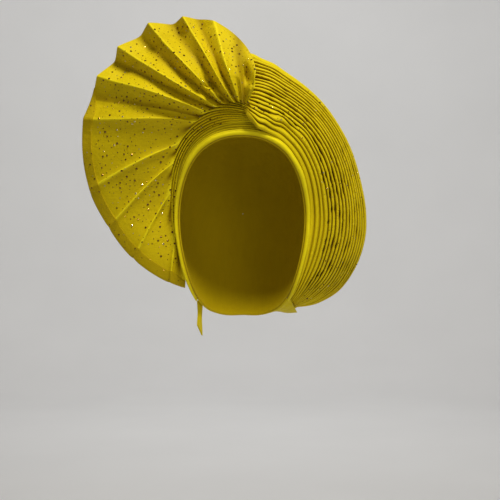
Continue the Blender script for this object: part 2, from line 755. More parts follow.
def across_normals(grid):
    """Unit normals of a grid, evened out across its columns and facing the front."""
    normals = facing(grid)
    for _ in range(EVENING_PASSES * max(1, grid.shape[1] // EVENING_COLUMNS)):
        padded = np.pad(normals, ((0, 0), (1, 1), (0, 0)), mode="edge")
        normals = unit(padded[:, :-2] + 2 * normals + padded[:, 2:])
    return normals * np.sign(-normals[..., 1].mean())


def fan_plan(fold, out, notch):
    """Where a point of the fan lies, seen from the front."""
    slant = math.radians(GATHER_SLANT)
    down = (fold / LAST_FOLD - GATHER_ABOVE) * GATHER_LENGTH
    start = np.stack([GATHER_ASIDE + down * math.sin(slant), -down * math.cos(slant)], axis=-1)
    angle = np.radians(fan_ridge("angle", fold))
    reach = FAN_REACH * fan_ridge("reach", fold) * (1 - notch)
    rim = np.stack([reach * np.sin(angle), reach * np.cos(angle)], axis=-1)
    corner_out = fan_ridge("corner_out", fold) * HEAD_HALF_BREADTH
    corner_up = fan_ridge("corner_up", fold) * HEAD_CROWN
    corner = np.stack([corner_out, corner_up], axis=-1)
    first, second = start + (corner - start) * FAN_PULL, rim + (corner - rim) * FAN_PULL
    t = out[..., None]
    ends = start * (1 - t) ** 3 + rim * t**3
    return ends + 3 * first * t * (1 - t) ** 2 + 3 * second * t * t * (1 - t)


def hug(around, distance, fold):
    """Keeps a crease outside the head: it lies on the ones beside the face until it leaves.

    Returns its distance from the axis, and how much it lies: 1 on the others, 0 when free.
    """
    room = FOLD_SPREAD * column(FAN_DISH, "spread", around)
    least = fan_root(around)[0] + (LAST_FOLD - fold) * room
    gap = distance - least
    lying = near(np.maximum(gap, 0), LYING_WITHIN)
    return least + 0.5 * (gap + np.sqrt(gap * gap + HUG_ROUNDING**2)), lying


def fan_depth(around, distance):
    """The depth of the dish that the fan lies in."""
    root_distance, root_depth = fan_root(around)
    out = np.maximum(distance - root_distance, 0)
    swell = np.sin(np.pi * np.minimum(out / FAN_BULGE_SPAN, 1) ** column(FAN_DISH, "slow", around))
    bulge = column(FAN_DISH, "bulge", around) * FAN_BULGE * swell
    return root_depth + column(FAN_DISH, "lean", around) * out - bulge


def rounded(value, radius):
    """The same value, with the kink at 0 rounded off."""
    return (np.sqrt(value**2 + radius**2) - radius) / (np.sqrt(1 + radius**2) - radius)


def small_folds(fold, out):
    """The height of the half-formed creases and dents, in metres."""
    height = np.zeros_like(fold)
    for fold_in, fold_out, start, end, rise, width in zip(*CREASES.values()):
        middle = fold_in + (fold_out - fold_in) * out
        off = 1 - ramp(np.abs(fold - middle), 0, width)
        fade = ramp(out, start, CREASE_FADE_IN) * ramp(out, end, -CREASE_FADE_OUT)
        height += rise * MILLIMETRE * rounded(off, CREASE_ROUNDING) * fade
    for place, far, rise, fold_width, out_width in zip(*DENTS.values()):
        spot = ((fold - place) / fold_width) ** 2 + ((out - far) / out_width) ** 2
        height += rise * MILLIMETRE * np.exp(-spot)
    gather = near(out - GATHER_RIPPLE["out"], GATHER_RIPPLE["width"]) * np.cos(4 * np.pi * fold)
    slack = np.sin(2.1 * fold + 9 * out + 1) * np.sin(4.7 * fold - 13 * out) * out
    height += GATHER_RIPPLE["height"] * MILLIMETRE * gather
    return height + SLACK_HEIGHT * MILLIMETRE * slack


print("beside the face the fan starts", round(1000 * float(fan_root(-90.0)[0])), "mm from the axis")

# %% [markdown]
# The finish is told where the cloth is pressed and where it is deep. A pressed edge is worn
# bright, a groove is brown, and the gathered part by the twist has both side by side. A
# shader could take this from the angles between faces, but the folds' own places are exact.

# %% Shade the creases and put the fan together
FAN_SHADE = {
    "pressed_sharp": 4,
    "pressed_least": 0.45,
    "pressed_gathered": 0.4,
    "lying_slope": 2.6,
    "lying_start": 1.1,
    "valley_power": 7,
    "gathered_out": 0.24,
    "gathered_power": 1.5,
    "gathered_dark": 1.2,
    "soft_valley": 0.60,
    "soft_sharp": 1.6,
    "low_fold": 5,
    "low_out": 0.5,
    "low_dark": 0.28,
    "twist_fold": 4,
    "twist_out": 0.04,
    "twist_dark": 0.4,
}


def fan_shade(fold, out, rise, crest, lying):
    """Relief for the finish: 1 on a lit edge, -1 in a groove."""
    shade, sharp = FAN_SHADE, fan_ridge("sharp", fold)
    at_twist = (1 - ramp(out, 0, OPENED_BY)) * (1 - shade["pressed_gathered"])
    pressed = np.clip(sharp / shade["pressed_sharp"], shade["pressed_least"], 1)
    pressed = pressed * near(1 - rise, EDGE_SHARE)
    gathered = np.exp(-((out / shade["gathered_out"]) ** shade["gathered_power"]))
    lines = near(1 - rise, LIT_SHARE) - shade["gathered_dark"] * (1 - rise) ** 2
    relief = (1 - at_twist) * pressed + gathered * lines
    lying_relief = np.clip(shade["lying_slope"] * rise - shade["lying_start"], -1, 1)
    relief += (lying_relief - relief) * lying
    soft = sharp < shade["soft_sharp"]
    relief -= shade["soft_valley"] * (1 - crest) ** shade["valley_power"] * soft
    low_folds = near(out, shade["low_out"]) * ramp(fold, shade["low_fold"], 1)
    relief -= shade["low_dark"] * low_folds * (1 - lying) * (1 - pressed)
    relief -= shade["twist_dark"] * near(out, shade["twist_out"]) * (fold < shade["twist_fold"])
    return np.clip(relief, -1, 1)


def fan_surface(columns, rows):
    """The fan's front, the normals of the dish that it lies in, and its relief."""
    fold, out = np.meshgrid(columns, rows)
    ridge = np.minimum(np.floor(fold + AT_RIDGE), LAST_FOLD - 1).astype(int)
    part, valley = fold - ridge, np.array(FAN_RIDGES["valley"])[ridge]
    rise = np.where(part < valley, 1 - part / valley, (part - valley) / (1 - valley))
    rise = 1 - rounded(1 - np.clip(rise, 0, 1), fan_ridge("soft", fold))
    sharpened = (fan_ridge("sharp", fold) - GATHER_SHARP) * ramp(out, 0, OPENED_BY)
    crest = rounded(rise, CREST_ROUNDING) ** (GATHER_SHARP + sharpened)
    aside, waves, turned = FAN_WANDER
    wander = aside * np.sin(waves * out + turned * fold) * np.sin(np.pi * out)
    notch = np.array(FAN_RIDGES["notch"])[ridge] * (1 - crest) * out
    plan = fan_plan(np.clip(fold + wander, 0, LAST_FOLD), out, notch)
    offset = plan - np.array([0.0, HEAD_CENTRE[2]])
    around = np.degrees(np.arctan2(offset[..., 0], offset[..., 1]))
    distance, lying = hug(around, np.hypot(offset[..., 0], offset[..., 1]), fold)
    lying *= ramp(fold, *LYING_FOLDS)
    crest += (rise**LYING_POWER - crest) * lying
    tuck = ramp(LAST_FOLD - fold, 0, TWIST_TUCK["folds"]) * (1 - ramp(out, 0, TWIST_TUCK["out"]))
    base = from_polar(around, distance, fan_depth(around, distance) + GATHER_TUCK * tuck)
    normals = across_normals(base)
    gathered = GATHER_FOLD * column(FAN_DISH, "spread", around) ** 2
    grown = ramp(out, 0, GROWN_BY) ** GROWN_POWER
    height = gathered + (fan_ridge("height", fold) * FOLD_HEIGHT - gathered) * grown
    hem = ramp(out, HEM_FROM, HEM_SPAN) ** 2 * HEM_TURN
    free = ramp(distance, fan_root(around)[0], FAN_LOOSE)[..., None]
    towards = unit(normals * (1 - free) + FRONTWARDS * free)
    front = base + towards * (crest * height - hem + small_folds(fold, out))[..., None]
    return front, normals, fan_shade(fold, out, rise, crest, lying)


# %% Make the fan
FAN_HALF_COLUMNS = 13
FAN_ROWS = 130
RIDGE_CROWDING = 1.35
THICK_FROM = 0.3


def fan_columns():
    """Fold positions, crowded towards each ridge, where the cloth bends most."""
    share = np.arange(FAN_HALF_COLUMNS) / FAN_HALF_COLUMNS
    places = []
    for ridge, valley in enumerate(FAN_RIDGES["valley"][:-1]):
        places.append(ridge + valley * share**RIDGE_CROWDING)
        places.append(ridge + 1 - (1 - valley) * (1 - share) ** RIDGE_CROWDING)
    return np.append(np.concatenate(places), LAST_FOLD)


fan_rows = np.linspace(0, 1, FAN_ROWS)
fan_front, fan_normals, fan_relief = fan_surface(fan_columns(), fan_rows)
fan_wall = GATHER_WALL + (FAN_WALL - GATHER_WALL) * ramp(fan_rows, 0, THICK_FROM)
fan_back = fan_front - fan_normals * fan_wall[:, None, None]
fan = sheet_piece("fan_cloth", fan_front, fan_back, stoned_cloth, fan_relief)
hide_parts("fan")

# %% [markdown]
# ## The fan's hem
#
# Down the fan's left rim the selvedge is folded over to the front, so a band as wide as a
# finger nail shows the matt reverse of the cloth. It is a thin strip bent round
# the rim, with its own front and back, and it follows every ridge that it crosses.

# %% Make the hem
HEM_WIDTH = 0.0068
HEM_WALL = 0.0005
HEM_GAP = 0.0002
HEM_FIRST_FOLD = 5.3
HEM_FADE_IN = 0.6
HEM_LEAST = 0.08
HEM_END_FOLD = 10.2
HEM_FADE_OUT = 0.8
HEM_END_LOSS = 0.45
HEM_COLUMNS = 220
HEM_ROWS = 15
HEM_SECTION = {
    "inwards": [1.0, 0.97, 0.75, 0.5, 0.25, 0.08, -0.05, -0.10, -0.05, 0.08, 0.5, 0.97, 1.0],
    "front": [0.25, 1.0, 1.0, 1.0, 1.0, 1.0, 0.8, 0.0, -0.8, -1.0, -1.0, -1.0, -0.3],
}


def make_hem():
    """The hem, and the grid of its outer side, on which stones lie."""
    near_rim = np.linspace(HEM_FROM, 1.0, HEM_ROWS)
    folds = np.linspace(HEM_FIRST_FOLD, LAST_FOLD, HEM_COLUMNS)
    surface, normals, _ = fan_surface(folds, near_rim)
    cloth_normals = facing(surface)
    cloth_normals *= np.sign((cloth_normals * normals).sum())
    long_way = FAN_REACH * fan_ridge("reach", folds)
    outwards = unit(surface[-1] - surface[-3])
    fade = np.maximum(ramp(folds, HEM_FIRST_FOLD, HEM_FADE_IN), HEM_LEAST)
    fade = fade * (1 - HEM_END_LOSS * ramp(folds, HEM_END_FOLD, HEM_FADE_OUT))

    def ring(spread, level):
        points = []
        for inwards, front in zip(HEM_SECTION["inwards"], HEM_SECTION["front"]):
            far = 1 - np.maximum(inwards, 0) * HEM_WIDTH * fade / long_way
            row = (far - near_rim[0]) / (near_rim[1] - near_rim[0])
            low = np.clip(np.floor(row).astype(int), 0, len(near_rim) - 2)
            part, index = (row - low)[:, None], np.arange(len(folds))
            at = surface[low, index] * (1 - part) + surface[low + 1, index] * part
            normal = unit(cloth_normals[low, index])
            lift = front * (FAN_WALL / 2 + level) - FAN_WALL / 2
            past_rim = max(-inwards, 0) * HEM_WIDTH + spread
            points.append(at + normal * lift + outwards * past_rim)
        return np.stack(points, axis=1)

    outer = ring(HEM_GAP, HEM_GAP + HEM_WALL)
    inner = ring(-HEM_GAP, HEM_GAP)
    return sheet_piece("fan_hem", outer, inner, reverse_cloth), outer


hem, hem_front = make_hem()

# %% [markdown]
# ## The tuck in the twist
#
# Where the fan and the swath part at the twist one looks into the bundle of cloth behind
# them. It is a small puckered bowl, set back from both, so the twist has a dark bottom
# and no hole. Real cloth would have many layers there, but only the first can be seen.

# %% Make the tuck
TUCK_MIDDLE = (0.0070, -0.0710, 0.0075)
TUCK_RADIUS = 0.0088
TUCK_SLOPE = 0.32
TUCK_BOWL = 0.0035
TUCK_FOLDS = 11
TUCK_FOLD = 0.0008
TUCK_TWIST = 3
TUCK_LOBES = 5
TUCK_RAGGED = 0.10
TUCK_SHADE = -0.7
TUCK_WALL = 0.0008
TUCK_GRID = 49


def make_tuck():
    u, v = np.meshgrid(np.linspace(-1, 1, TUCK_GRID), np.linspace(-1, 1, TUCK_GRID))
    across, up = u * np.sqrt(1 - v * v / 2), v * np.sqrt(1 - u * u / 2)
    radius, turn = np.hypot(across, up), np.arctan2(up, across)
    pucker = TUCK_FOLD * radius * np.sin(TUCK_FOLDS * turn + TUCK_TWIST * radius)
    ragged = 1 + TUCK_RAGGED * radius * np.sin(TUCK_LOBES * turn + 1)
    depth = TUCK_SLOPE * TUCK_RADIUS * up - TUCK_BOWL * radius**2 + pucker
    front = np.stack([TUCK_RADIUS * across * ragged, depth, TUCK_RADIUS * up * ragged], axis=-1)
    front = front + np.array(TUCK_MIDDLE)
    back = front - TUCK_WALL * FRONTWARDS
    return sheet_piece("twist_tuck", front, back, stoned_cloth, TUCK_SHADE)


tuck = make_tuck()

# %% [markdown]
# ## The swath of knife pleats
#
# Round the other side of the face the same cloth is laid in about seventeen knife pleats.
# Each is a rounded fold with a deep, dark groove under its edge. No two are alike: they
# wander, swell and thin, and here and there a groove gapes where two folds part. The
# lines between the pleats are drawn first, and each pleat then fills the room between two.

# %% Give the swath's sections
SWATH_PLEATS = 17
SWATH_REACH = 0.184
SWATH_DEPTH = 0.045
SWATH_BULGE = 0.012
SWATH_PLEAT_HEIGHT = 0.0026
SWATH_STAND_OFF = 0.028
SWATH_FORWARD = 0.026
FOLD_SHOWN = 0.009

SWATH_SECTIONS = {
    "around": [-44, -22, -8, 0.7, 4, 8, 12, 17, 24, 35, 53, 76, 92, 101, 114, 126, 139, 150],
    "stand_off": [0.55, 0.80, 1.0, 0.82, 0.47, 0.20, 0.02, 0, 0, 0, 0, 0, 0, 0, 0, 0, 0, 0],
    "forward": [-0.30, 0.00, 0.30, 0.70, 0.66, 0.52, 0.38, 0.22, 0.08, 0, 0, 0, 0, 0, 0, 0, 0, 0],
    "reach": [
        0.660, 0.830, 0.940, 1.000, 0.996, 0.978, 0.966, 0.940, 0.912,
        0.878, 0.832, 0.805, 0.819, 0.830, 0.836, 0.832, 0.791, 0.720,
    ],
    "depth": [
        -0.35, -0.70, -0.86, -0.89, -0.88, -0.84, -0.80, -0.75, -0.66,
        -0.47, -0.13, 0.22, 0.40, 0.49, 0.62, 0.76, 0.89, 0.93,
    ],
    "bulge": [-0.2, -0.25, -0.4, -0.7, -0.3, 0.5, 0.9, 1, 1, 1, 1, 1, 1, 1, 0.9, 0.8, 0.6, 0.4],
    "shown": [0.3, 0.6, 0.9, 1, 1, 1, 1, 1, 0.9, 0.7, 0.5, 0.4, 0.35, 0.3, 0.25, 0.2, 0.2, 0.2],
}
SWATH_LOWER_END = 151.3
SWATH_CROWDING = 1.05
SWATH_FULL = 0.8
SWATH_TOP = {
    "across": [0.0, 0.06, 0.13, 0.25, 0.40, 0.62, 1.0],
    "around": [2.0, 2.6, 2.6, -3.0, -18.0, -38.0, -44.0],
}


def root(around):
    """Where the wrap leaves the cap, just behind the face band: distance and depth."""
    return polar(behind_edge(around, BAND_WIDTH + CLEARANCE, CAP_WALL + CLEARANCE + PLEAT_WALL))


def swath_base(around, across):
    """The smooth surface that the pleats stand on. across runs 0 at the face to 1."""
    inner, inner_depth = root(around)
    inner = inner + CLEARANCE + column(SWATH_SECTIONS, "stand_off", around) * SWATH_STAND_OFF
    inner_depth = inner_depth - column(SWATH_SECTIONS, "forward", around) * SWATH_FORWARD
    reach = column(SWATH_SECTIONS, "reach", around) * SWATH_REACH
    shown = column(SWATH_SECTIONS, "shown", around) * FOLD_SHOWN
    run = reach - shown - inner
    drop = column(SWATH_SECTIONS, "depth", around) * SWATH_DEPTH - inner_depth
    length = np.hypot(run, drop)
    swell = np.sin(np.pi * np.clip(across, 0, 1) ** SWATH_FULL)
    bulge = column(SWATH_SECTIONS, "bulge", around) * SWATH_BULGE * swell
    distance = inner + run * across + bulge * drop / length
    return from_polar(around, distance, inner_depth + drop * across - bulge * run / length)


def swath_place(along, across):
    """The angle, point and normal of the swath's base at each grid place."""
    top = smooth(SWATH_TOP["across"], SWATH_TOP["around"], across)
    around = top + (SWATH_LOWER_END - top) * along**SWATH_CROWDING
    base = swath_base(around, across)
    return around, base, across_normals(base)


print("beside the ear the swath starts", round(1000 * float(root(90.0)[0])), "mm from the axis")

# %% [markdown]
# The pleats' uneven course comes from sums of slow waves with seeded phases. A table then
# adds the few large buckles by the brow, where the pleats are pushed apart and stand up.

# %% Make the knife pleats
SWATH_STATIONS = 215
PLEAT_COLUMNS = 11
PLAIN_PLEATS = 3
PLAIN_FADE = 1.5
PLAIN_LEAST = 0.25
PLAIN_START = (0.05, 0.12)
PLEAT_WANDER = 0.22
WANDER_WAVES = 12
SWELL_WAVES = 16
PLEAT_SWELL = 0.35
PLEAT_FULL = 1.15
PLEAT_LEAN = 0.75
PLEAT_ROUND = 0.75
PLEAT_OVERLAP = 0.22
PLEAT_HOLLOW = 0.35
PLEAT_SHADE = 0.3
GROOVE_WIDTHS = (0.15, 0.12)
GROOVE_DEPTH = 0.0018
GROOVE_PRESSED = 0.7
GROOVE_GAPING = 1.3
GAPS = 130
GAP_PLACES = (0.05, 0.95)
GAP_LENGTHS = (0.006, 0.016)
GAP_WIDENS = 0.10
TUCKED_SHARE = 0.035
TUCKED_DEPTH = 0.003
TUCKED_FLAT = 0.7
TUCKED_THIN = 0.85
TUCKED_SHADE = 0.35
BUCKLE_LINES = 0.9

BUCKLES = {
    "around": [14, 19, 23, 28, 27, 40],
    "line": [1.6, 3.0, 4.2, 5.2, 2.2, 4.6],
    "length": [4.0, 4.0, 4.5, 4.5, 4.5, 7.0],
    "push": [0.35, -0.45, 0.45, -0.40, 0.35, 0.35],
    "rise": [1.4, 2.2, 2.0, 1.8, -1.6, 1.2],
}


def slow_waves(random, count, length, shortest):
    """Rows of smooth, uneven values around 0, one row for each pleat line."""
    place = np.linspace(0, 1, length)
    total = np.zeros((length, count))
    for wave in range(1, shortest):
        phase = random.uniform(0, 2 * np.pi, count)
        size = random.normal(0, 1 / wave**0.8, count)
        total += size * np.sin(np.pi * wave * place[:, None] + phase)
    return total / np.abs(total).max()


def make_side_pleats():
    """The swath, and the grid of its front, on which stones lie."""
    random = np.random.default_rng(11)
    lines = np.arange(SWATH_PLEATS + 1)
    along = np.linspace(0, 1, SWATH_STATIONS)[:, None]
    wander = slow_waves(random, SWATH_PLEATS + 1, SWATH_STATIONS, WANDER_WAVES) * PLEAT_WANDER
    wander *= ramp(np.minimum(lines, SWATH_PLEATS - lines), 0, 2)
    about = swath_place(along + 0 * lines, lines / SWATH_PLEATS + 0 * along)[0]
    stand = np.zeros_like(about)
    for place, line, length, push, rise in zip(*BUCKLES.values()):
        buckled = np.exp(-(((about - place) / length) ** 2) - (lines - line) ** 2 / BUCKLE_LINES)
        wander, stand = wander + push * buckled, stand + rise * MILLIMETRE * buckled
    gape = np.zeros_like(about)
    for _ in range(GAPS):
        line = random.integers(PLAIN_PLEATS + 1, SWATH_PLEATS)
        middle = random.uniform(*GAP_PLACES)
        gape[:, line] += near(along[:, 0] - middle, random.uniform(*GAP_LENGTHS))
    gape = np.clip(gape, 0, 1)
    edge = lines + wander

    part = np.tile(np.arange(PLEAT_COLUMNS) / PLEAT_COLUMNS, SWATH_PLEATS)
    pleat = np.repeat(np.arange(SWATH_PLEATS), PLEAT_COLUMNS)
    part, pleat = np.append(part, 1.0), np.append(pleat, SWATH_PLEATS - 1)
    low, high = edge[:, pleat], edge[:, pleat + 1]
    swell = slow_waves(random, SWATH_PLEATS, SWATH_STATIONS, SWELL_WAVES)[:, pleat]
    crest = np.sin(np.pi * part**PLEAT_LEAN) ** PLEAT_ROUND
    groove = near(part, GROOVE_WIDTHS[0]) * (pleat > 0) + near(1 - part, GROOVE_WIDTHS[1])
    gaping = gape[:, pleat] * (1 - part) ** 3 + gape[:, pleat + 1] * part**3
    plain = np.maximum(ramp(pleat + part, PLAIN_PLEATS, PLAIN_FADE), PLAIN_LEAST)
    plain = 1 - (1 - plain) * ramp(along, *PLAIN_START)
    height = SWATH_PLEAT_HEIGHT * crest * (PLEAT_FULL + PLEAT_SWELL * swell * plain)
    height -= GROOVE_DEPTH * plain * (groove * GROOVE_PRESSED + gaping * GROOVE_GAPING)
    height += stand[:, pleat] * (1 - part) + stand[:, pleat + 1] * part
    tucked = (1 - ramp(along, 0, TUCKED_SHARE)) ** 2
    height = height * (1 - TUCKED_FLAT * tucked)
    widened = gaping * np.sign(0.5 - part) * GAP_WIDENS
    lean = -PLEAT_OVERLAP * crest * plain * np.minimum(pleat + part, 1)
    across = (low + (high - low) * part + widened + lean) / SWATH_PLEATS
    _, base, normals = swath_place(along + 0 * part, np.clip(across, -0.01, 1))
    base = base - FRONTWARDS * TUCKED_DEPTH * tucked[..., None]
    front = base + normals * height[..., None]
    wall = PLEAT_WALL - PLEAT_HOLLOW * SWATH_PLEAT_HEIGHT * np.sin(np.pi * part)
    back = base - normals * (wall * (1 - TUCKED_THIN * tucked))[..., None]
    relief = PLEAT_SHADE * crest**6 - PLEAT_SHADE * plain * (1 - crest)
    relief = relief - np.clip(plain * groove + gaping, 0, 1)
    relief = relief * (1 - tucked) - TUCKED_SHADE * tucked
    name = "side_pleats_cloth"
    return sheet_piece(name, front, back, stoned_cloth, relief), front


side_pleats, swath_front = make_side_pleats()
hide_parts("side_pleats")

# %% [markdown]
# ## The fold behind the rim
#
# Behind the last pleat the cloth turns back on itself in one wide plain fold. Its
# rolled edge catches the light and is the outline of the wrap on that side. It
# is a hollow roll: a half ellipse past the rim, with both ends running back under the pleats.

# %% Make the rim fold
FOLD_PLEATS = 6
FOLD_WALL = 0.0020
FOLD_ROLL = 0.0045
ROLL_POINTS = 15
ROLL_TURN = (0.88 * np.pi, -0.62 * np.pi)
ROLL_MIDDLE = 0.52
ROLL_ROUND = 0.22
BEHIND_POINTS = 9


def make_rim_fold():
    along = np.linspace(0, 1, SWATH_STATIONS)[:, None]
    across = np.linspace(1 - FOLD_PLEATS / SWATH_PLEATS, 1, BEHIND_POINTS)
    around, base, normals = swath_place(along + 0 * across, across + 0 * along)
    top, bottom = PLEAT_WALL + CLEARANCE, PLEAT_WALL + CLEARANCE + FOLD_WALL
    edge, normal = base[:, -1:], normals[:, -1:]
    outward = unit(edge - base[:, -2:-1])
    shown = column(SWATH_SECTIONS, "shown", around[:, -1:])[..., None] * FOLD_SHOWN
    turn = np.linspace(*ROLL_TURN, ROLL_POINTS)[None, :, None]
    roll = 0.5 * bottom + ROLL_ROUND * np.minimum(FOLD_ROLL, 0.8 * shown)
    rolled = edge + outward * shown * (ROLL_MIDDLE + (1 - ROLL_MIDDLE) * np.cos(turn))
    rolled = rolled + normal * (-ROLL_MIDDLE * bottom + roll * np.sin(turn))
    front = (base - normals * top)[:, :-1]
    back = (base - normals * bottom)[:, -2::-1]
    rings = np.concatenate([front, rolled, back], axis=1)
    return strip_piece("rim_fold_cloth", rings, plain_cloth)


rim_fold = make_rim_fold()
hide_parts("rim_fold")

# %% [markdown]
# ## The strap at the nape and the hanging end
#
# A plain strap closes the wrap behind the neck, and its free end hangs beside it. Both
# are folded strips with soft creases along them. They are swept like the band, because a flat
# plane with a bend modifier can't follow the form of the head.

# %% Make the strap
STRAP_WIDTH = 0.024
STRAP_STAND_OFF = 0.024
STRAP_WALL = 0.0018
STRAP_GAP = 0.0001
STRAP_STATIONS = 120
STRAP_POINTS = 25
STRAP_CREASE = 0.35
STRAP_EDGE = 0.4
STRAP_COURSE = {
    "around": [151.5, 156, 162, 170, 180, 192, 204, 208.5],
    "behind": [0.12, 0.10, 0.08, 0.06, 0.05, 0.05, 0.06, 0.10],
    "width": [0.80, 0.85, 0.90, 0.90, 0.85, 0.85, 0.90, 0.90],
    "stand_off": [1.0, 0.70, 0.35, 0.10, 0.0, 0.0, 0.0, 0.0],
}


def make_strap():
    first, last = STRAP_COURSE["around"][0], STRAP_COURSE["around"][-1]
    around = np.linspace(first, last, STRAP_STATIONS)[:, None]
    width = column(STRAP_COURSE, "width", around) * STRAP_WIDTH
    start = column(STRAP_COURSE, "behind", around) * STRAP_WIDTH
    stand_off = column(STRAP_COURSE, "stand_off", around) * STRAP_STAND_OFF
    share = np.linspace(0, 1, STRAP_POINTS)
    crease = STRAP_CREASE * MILLIMETRE * np.cos(6 * np.pi * share + np.radians(around * 2))
    edge_round = np.sqrt(np.clip(1 - (2 * share - 1) ** 8, 0, 1))
    wall = STRAP_WALL * (STRAP_EDGE + (1 - STRAP_EDGE) * edge_round)
    outer = CAP_WALL + STRAP_GAP + wall + crease * edge_round
    inner = CAP_WALL + STRAP_GAP + 0 * share + 0 * around
    share_ring = np.append(share, share[::-1])
    lift = np.concatenate([outer, inner[:, ::-1]], axis=1) + stand_off * share_ring
    rings = behind_edge(around + 0 * share_ring, start + width * share_ring, lift)
    return strip_piece("nape_strap_cloth", rings, plain_cloth)


strap = make_strap()
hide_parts("nape_strap")

# %% Make the hanging end
TAIL_WIDTH = 0.013
TAIL_LENGTH = 0.036
TAIL_AROUND = 203.0
TAIL_SLANT = 0.5
TAIL_NARROW = 0.10
TAIL_FOLD = 0.5
TAIL_GAP = 2.8
TAIL_ROWS = 40
TAIL_COLUMNS = 21


def make_tail():
    seat = CAP_WALL + TAIL_GAP * CLEARANCE + STRAP_WALL
    turn = math.degrees(TAIL_WIDTH / (HEAD_BASE - CAP_WALL))
    around = np.array([TAIL_AROUND, TAIL_AROUND + turn])
    first, second = behind_edge(around, np.full(2, 0.5 * STRAP_WIDTH), np.full(2, seat))
    side = unit(second - first)
    outward = np.cross(side, (0.0, 0.0, 1.0))
    outward *= -np.sign(outward[0]) / np.linalg.norm(outward)
    share, across = np.linspace(0, 1, TAIL_ROWS), np.linspace(0, 1, TAIL_COLUMNS)
    share, across = np.meshgrid(share, across, indexing="ij")
    narrow = TAIL_NARROW * TAIL_WIDTH * np.sin(np.pi * share)
    place = narrow + across * (TAIL_WIDTH - 2 * narrow)
    drop = TAIL_LENGTH * share - across * TAIL_SLANT * TAIL_WIDTH * share
    fold = TAIL_FOLD * MILLIMETRE * np.sin(3 * np.pi * across + 1.5 * share)
    fold = fold * np.sin(np.pi * np.clip(share * 1.4, 0, 1))
    back = first + side * place[..., None] + outward * fold[..., None]
    back = back - np.array([0.0, 0.0, 1.0]) * drop[..., None]
    front = back + outward * STRAP_WALL
    return sheet_piece("tie_tail_cloth", front, back, plain_cloth)


tail = make_tail()
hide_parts("tie_tail")

# %% [markdown]
# ## The stones
#
# Flat-backed cut stones are stuck all over the large parts of the cloth, in two sizes and
# with no order. Each has a table, sixteen crown facets and a girdle. Placing a thousand
# objects would be slow, so the stones of one colour are joined in one mesh. They are
# scattered with a seed, and a stone that would touch another is left out.

# %% Scatter the stones
STONE_SIDES = 8
STONE_SINK = 0.00015
STONE_RINGS = {"radius": [0.52, 1.0, 1.0], "height": [0.62, 0.22, 0.0], "turned": [0, 1, 1]}
SCATTER_TRIES = 4
ASKEW = (0.3, 0.1, 1.0)


def stone_shape():
    """Points of a stone of radius 1 that lies on z = 0, and its faces."""
    turns = np.arange(STONE_SIDES) * 2 * np.pi / STONE_SIDES
    shift = np.pi / STONE_SIDES
    points = []
    for radius, height, turned in zip(*STONE_RINGS.values()):
        at = turns + turned * shift
        points.append(np.stack([radius * np.cos(at), radius * np.sin(at), 0 * turns + height], 1))
    faces = [
        tuple(range(STONE_SIDES)),
        tuple(range(3 * STONE_SIDES - 1, 2 * STONE_SIDES - 1, -1)),
    ]
    for i in range(STONE_SIDES):
        j = (i + 1) % STONE_SIDES
        table, girdle, foot = [(ring + i, ring + j) for ring in (0, STONE_SIDES, 2 * STONE_SIDES)]
        faces.append((table[0], girdle[0], table[1]))
        faces.append((table[1], girdle[0], girdle[1]))
        faces.append((girdle[0], foot[0], foot[1], girdle[1]))
    return np.concatenate(points), faces


def scatter(grid, allowed, count, gap, random):
    """Places on a grid of cloth and the normals there, at least a gap apart."""
    a, b, c = grid[:-1, :-1], grid[:-1, 1:], grid[1:, :-1]
    normals = np.cross(b - a, c - a)
    area = np.linalg.norm(normals, axis=2) * allowed[:-1, :-1]
    tries = count * SCATTER_TRIES
    chosen = random.choice(area.size, size=tries, p=(area / area.sum()).ravel())
    i, j = np.unravel_index(chosen, area.shape)
    across, down = random.uniform(0, 1, (2, tries, 1))
    points = a[i, j] + (b - a)[i, j] * across + (c - a)[i, j] * down
    kept = []
    for k, point in enumerate(points):
        if len(kept) == count:
            break
        if not kept or np.linalg.norm(points[kept] - point, axis=1).min() > gap:
            kept.append(k)
    towards = unit(normals[i, j][kept])
    return points[kept], towards * np.sign(-towards[:, 1:2].mean())


def stones_piece(name, places, normals, radii, material, random):
    shape, shape_faces = stone_shape()
    points, faces = [], []
    for place, normal, radius in zip(places, normals, radii):
        turn = random.uniform(0, np.pi)
        side = unit(np.cross(normal, ASKEW))
        other = np.cross(normal, side)
        x = np.cos(turn) * side + np.sin(turn) * other
        y = np.cross(normal, x)
        start = len(points) * len(shape)
        points.append(place - normal * STONE_SINK + radius * (shape @ np.stack([x, y, normal])))
        faces += [tuple(start + v for v in face) for face in shape_faces]
    piece = add_object(name, np.concatenate(points), faces, material)
    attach(piece, "root")
    return piece


# %% Make the stones' finishes
STONE_SPOTS = 300.0
STONE_DARKER = 0.4
STONE_COAT = 0.25
STONE_COAT_ROUGHNESS = 0.03


def stone_finish(name, colour, metallic, roughness):
    material, tree, shader = new_material(name)
    place = tree.nodes.new("ShaderNodeTexCoord").outputs["Object"]
    share = noise_node(tree, place, STONE_SPOTS)
    darker = tuple(STONE_DARKER * value for value in colour[:3]) + (1,)
    tree.links.new(mix_colours(tree, share, colour, darker), shader.inputs["Base Color"])
    shader.inputs["Metallic"].default_value = metallic
    shader.inputs["Roughness"].default_value = roughness
    shader.inputs["Coat Weight"].default_value = STONE_COAT
    shader.inputs["Coat Roughness"].default_value = STONE_COAT_ROUGHNESS
    return material


amber_stone = stone_finish("amber_stone", (0.26, 0.13, 0.015, 1), metallic=0.85, roughness=0.16)
gold_stone = stone_finish("gold_stone", (0.85, 0.70, 0.30, 1), metallic=0.9, roughness=0.10)
print("stone finishes:", amber_stone.name, gold_stone.name)

